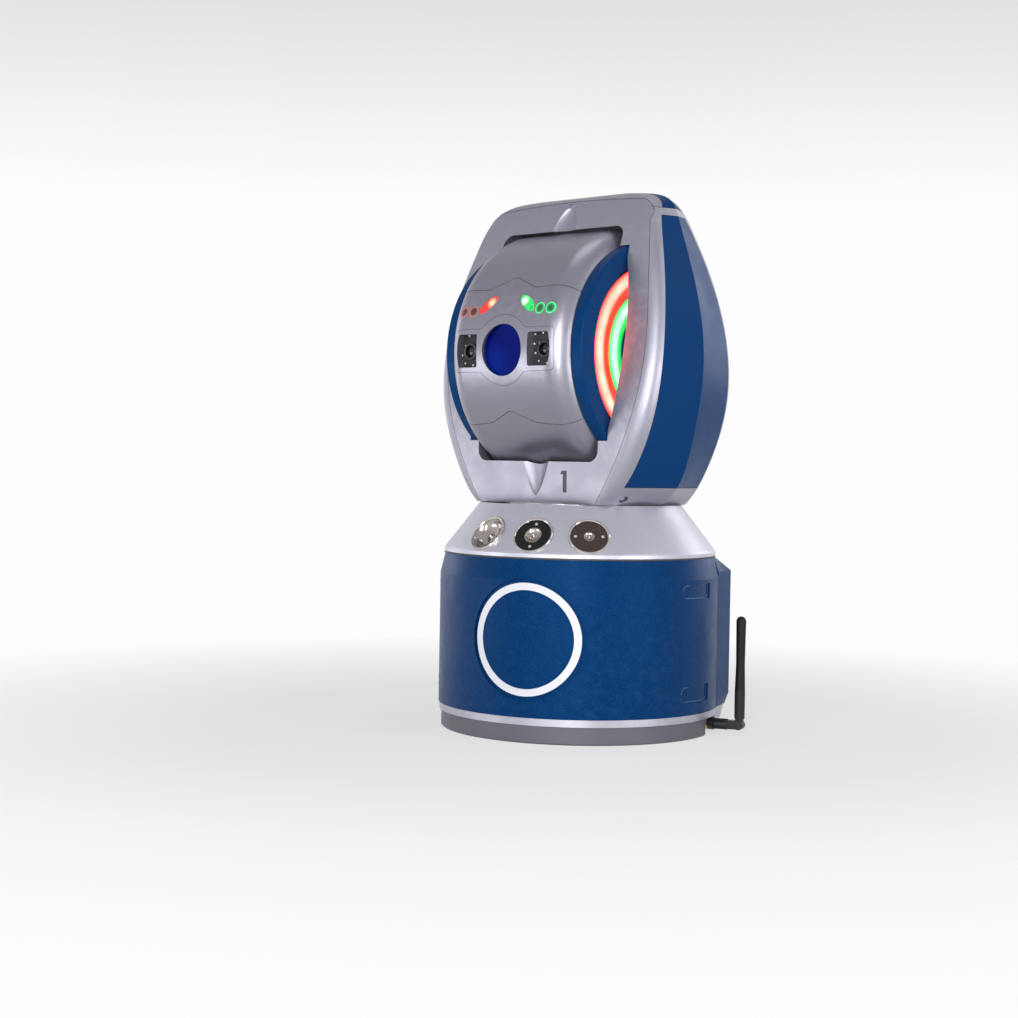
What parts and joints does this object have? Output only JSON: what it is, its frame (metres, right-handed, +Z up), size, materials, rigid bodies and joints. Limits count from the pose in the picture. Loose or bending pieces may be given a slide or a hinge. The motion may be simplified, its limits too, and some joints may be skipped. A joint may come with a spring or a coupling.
{
  "type": "laser tracker",
  "caption": "Portable laser tracker: round base with target nests, a yoke head that turns on it and a tilting drum with a beam window, two cameras and lit rings.",
  "frame": {"origin": "on the azimuth axis at the underside of the foot, at the mouth of the stand thread", "axes": "+Z up along the azimuth axis, -Y to the front of the base (the side with the round badge), +X to the right seen from the front"},
  "size_m": [0.2511, 0.2297, 0.416],
  "materials": {
    "silver_paint": "satin metallic paint",
    "navy_paint": "satin paint",
    "blue_texture": "fine textured paint",
    "grey_paint": "satin",
    "bright_steel": "turned",
    "nickel": "polished nickel",
    "black_anodised": "black anodised",
    "cast_aluminium": "as machined",
    "black_plastic": "matt black",
    "white_plastic": "satin white",
    "board": "circuit board",
    "motor": "laminated",
    "encoder_glass": "coated glass",
    "window_glass": "coated optical glass",
    "red_lamp": "lit red",
    "green_lamp": "lit green",
    "brass": "gold plated",
    "laser_case": "grey anodised"
  },
  "bodies": {
    "base": {"foot_ring": "grey_paint", "foot_screws": "bright_steel", "stand_thread_ring": "bright_steel", "base_tray": "silver_paint", "front_cover": "blue_texture", "cover_catches": "black_plastic", "badge_ring": "white_plastic", "rear_housing": "blue_texture", "rear_sockets": "black_plastic", "battery_bay": "black_plastic", "battery_packs": "black_plastic", "shoulder_cone": "silver_paint", "nest_bezels": "bright_steel", "nest_cups": "nickel", "nest_plates": "black_anodised", "nest_screws": "bright_steel", "azimuth_column": "cast_aluminium", "azimuth_outer_races": "bright_steel", "azimuth_stator": "motor", "azimuth_read_heads": "black_plastic", "slip_ring_housing": "black_plastic", "controller_board": "board", "antenna_jack": "brass"},
    "head": {"azimuth_shaft": "bright_steel", "azimuth_inner_races": "bright_steel", "azimuth_rotor": "motor", "azimuth_encoder_disc": "encoder_glass", "slip_ring_rotor": "black_plastic", "yoke_frame": "silver_paint", "front_face_panel": "silver_paint", "rear_face_panel": "silver_paint", "side_panels": "navy_paint", "top_cap": "silver_paint", "cap_inserts": "navy_paint", "axle_outer_races": "bright_steel", "axle_stator": "motor", "pillar_boards": "board"},
    "drum": {"drum_front_shell": "silver_paint", "drum_upper_shell": "silver_paint", "drum_lower_shell": "silver_paint", "sensor_bezel": "black_plastic", "aperture_window": "window_glass", "status_lamp_left": "red_lamp", "status_lamp_right": "green_lamp", "camera_modules": "black_anodised", "camera_lenses": "window_glass", "drum_discs": "navy_paint", "ring_lights_outer": "red_lamp", "ring_lights_inner": "green_lamp", "drum_core": "cast_aluminium", "trunnions": "bright_steel", "axle_inner_races": "bright_steel", "axle_rotor": "motor", "axle_encoder_disc": "encoder_glass", "laser_tube": "black_anodised", "laser_modules": "laser_case"},
    "antenna_elbow": {"antenna_elbow": "black_plastic"},
    "antenna_whip": {"antenna_whip": "black_plastic"},
    "power_button": {"power_button": "black_plastic"},
    "battery_door": {"battery_door": "blue_texture"}
  },
  "joints": [
    {"name": "azimuth", "type": "hinge", "parent": "base", "child": "head", "pos_m": [0, 0, 0.12], "axis": [0, 0, 1], "continuous": true},
    {"name": "elevation", "type": "hinge", "parent": "head", "child": "drum", "pos_m": [0, 0, 0.2916], "axis": [-0.9489, 0.3156, 0], "range_deg": [-52.1, 232.1]},
    {"name": "antenna_swivel", "type": "hinge", "parent": "base", "child": "antenna_elbow", "pos_m": [0.112, 0.0112, 0.0081], "axis": [1, 0, 0], "range_deg": [-180, 180]},
    {"name": "antenna_fold", "type": "hinge", "parent": "antenna_elbow", "child": "antenna_whip", "pos_m": [0.1298, 0.0112, 0.0081], "axis": [0, 1, 0], "range_deg": [0, 90]},
    {"name": "power_button", "type": "slide", "parent": "base", "child": "power_button", "axis": [0, -1, 0], "range_m": [0, 0.0015], "stiffness_N_per_m": 400, "springref_m": -0.0015},
    {"name": "battery_door", "type": "hinge", "parent": "base", "child": "battery_door", "pos_m": [-0.0498, 0.10698, 0.09], "axis": [0, 0, 1], "range_deg": [0, 100]}
  ]
}
